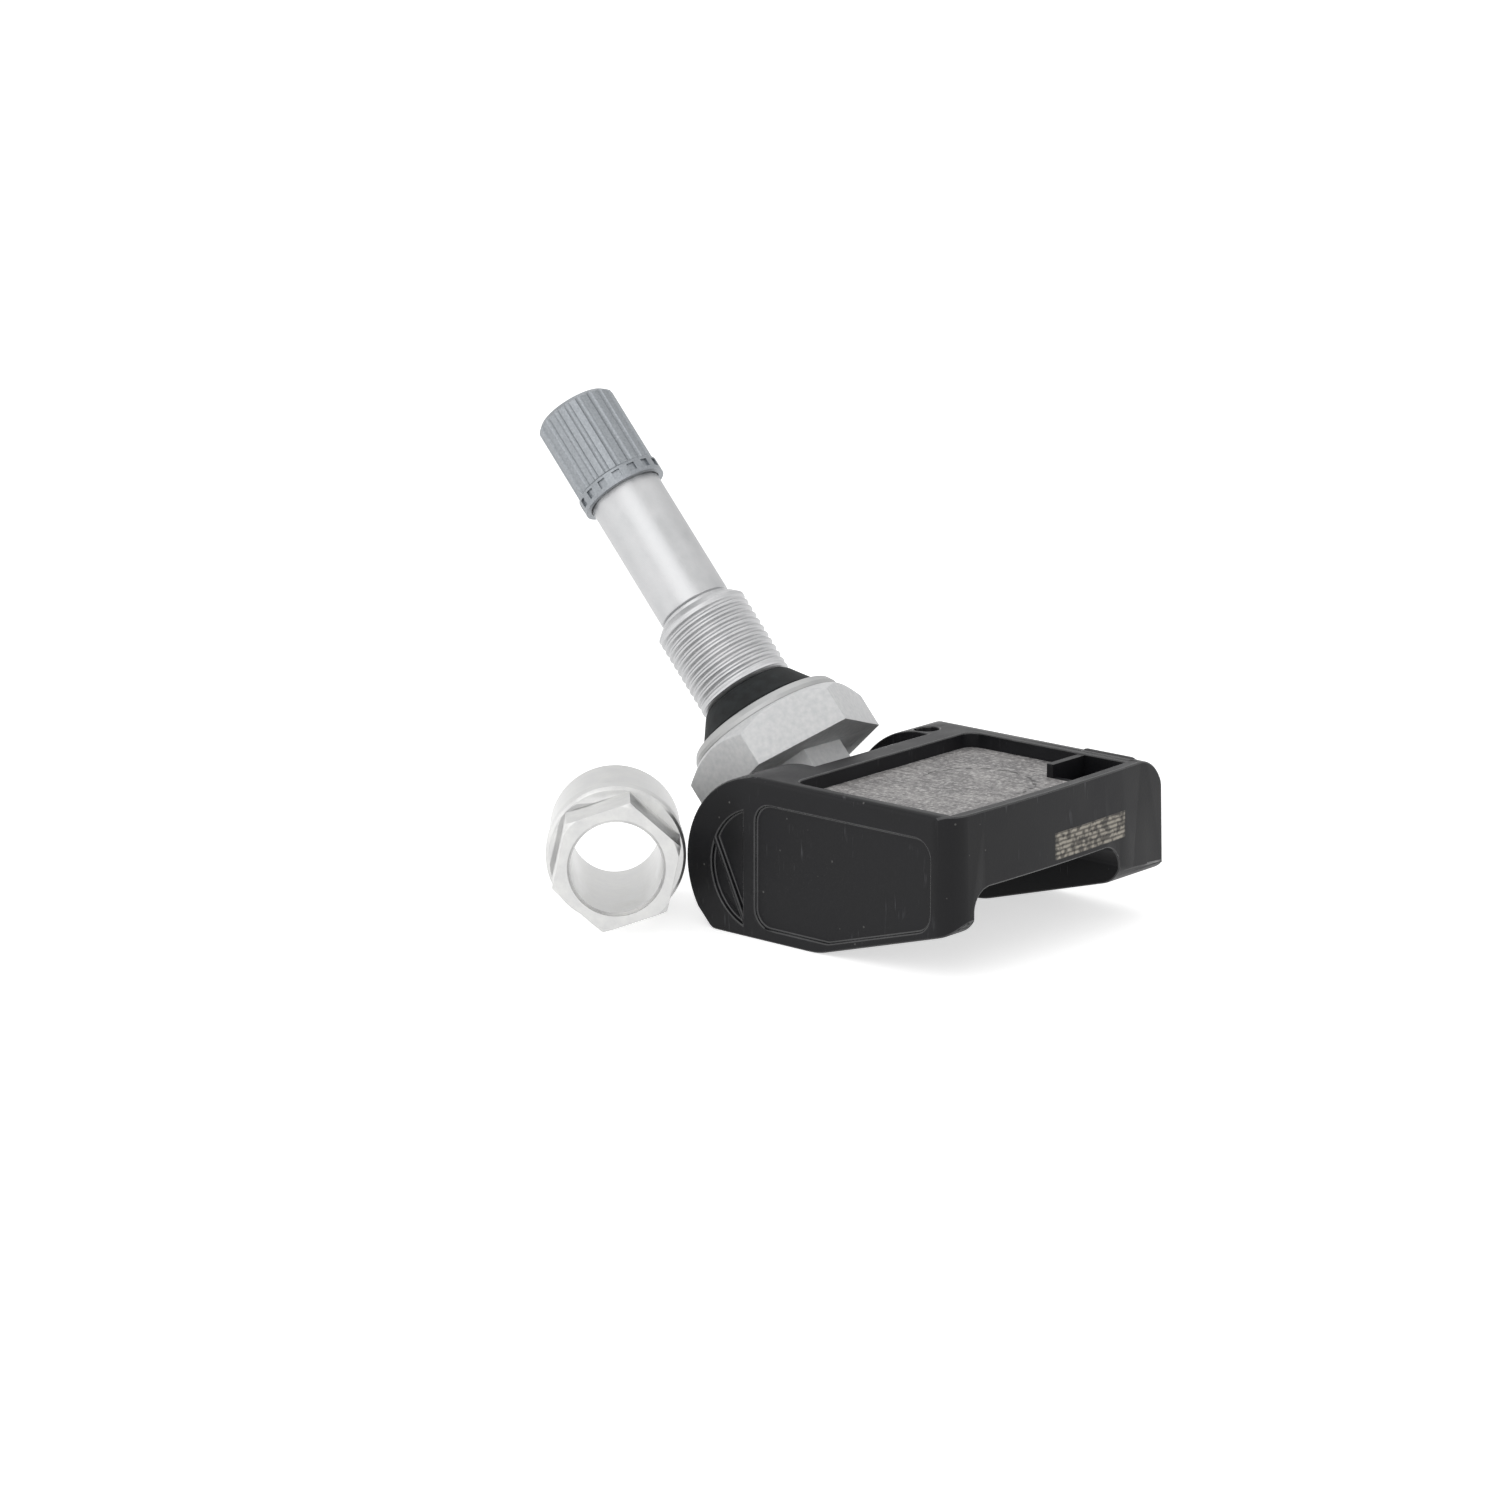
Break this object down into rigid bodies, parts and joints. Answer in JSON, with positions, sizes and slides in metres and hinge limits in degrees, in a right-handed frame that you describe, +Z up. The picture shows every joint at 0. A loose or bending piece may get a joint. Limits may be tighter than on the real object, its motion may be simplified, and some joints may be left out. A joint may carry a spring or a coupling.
{
  "type": "tyre pressure sensor",
  "caption": "Tyre pressure sensor: black moulded housing with filled tray, slanted clamp-in metal valve with fluted screw cap, and a loose flanged clamp nut.",
  "frame": {"origin": "on the ground under the middle of the whole part, the loose nut included", "axes": "+X from the valve end to the tail of the housing, +Y from the side that the nut lies on to the other side, +Z up"},
  "size_m": [0.0698, 0.049, 0.0506],
  "materials": {
    "black_nylon": "moulded, satin",
    "grey_fill": "cast resin, matt",
    "board": "glass fibre laminate",
    "cell_steel": "plain",
    "nickel_strip": "plain",
    "chip_black": "matt",
    "soft_rubber": "matt",
    "ferrite": "matt",
    "copper_wire": "drawn",
    "capacitor_ceramic": "matt",
    "turned_aluminium": "turned, satin",
    "plated_nut": "plated, bright",
    "screw_steel": "zinc plated",
    "core_brass": "turned",
    "spring_steel": "drawn",
    "cap_silver": "silver lacquer"
  },
  "bodies": {
    "sensor": {"housing": "black_nylon", "potting_fill": "grey_fill", "circuit_board": "board", "coin_cell": "cell_steel", "cell_tab_bottom": "nickel_strip", "cell_tab_top": "nickel_strip", "sensor_chip": "chip_black", "port_seal": "soft_rubber", "port_frame": "black_nylon", "wake_up_coil": "ferrite", "crystal": "cell_steel", "aerial_loop": "copper_wire", "chip_capacitors": "capacitor_ceramic", "valve_stem": "turned_aluminium", "seat_washer": "turned_aluminium", "grommet": "soft_rubber", "fixing_screw": "screw_steel", "core_body": "core_brass", "core_seal": "soft_rubber", "core_spring": "spring_steel", "collar_nut": "plated_nut"},
    "pin": {"core_pin": "core_brass", "pin_seal": "soft_rubber"},
    "gasket": {"cap_gasket": "soft_rubber"},
    "cap": {"valve_cap": "cap_silver"}
  },
  "joints": [
    {"name": "pin_press", "type": "slide", "parent": "sensor", "child": "pin", "axis": [0.6691, 0, -0.7431], "range_m": [0, 0.0012], "stiffness_N_per_m": 800, "springref_m": -0.002, "deforming": ["core_spring"]},
    {"name": "cap_lift", "type": "slide", "parent": "sensor", "child": "gasket", "axis": [-0.6691, 0, 0.7431], "range_m": [0, 0.00635]},
    {"name": "cap_turn", "type": "hinge", "parent": "gasket", "child": "cap", "pos_m": [-0.02716, 0.00623, 0.04261], "axis": [-0.6691, 0, 0.7431], "range_deg": [0, 2885.76]}
  ],
  "couplings": [
    {"joint": "cap_turn", "follows": "cap_lift", "rad_per_m": 7913.3}
  ]
}
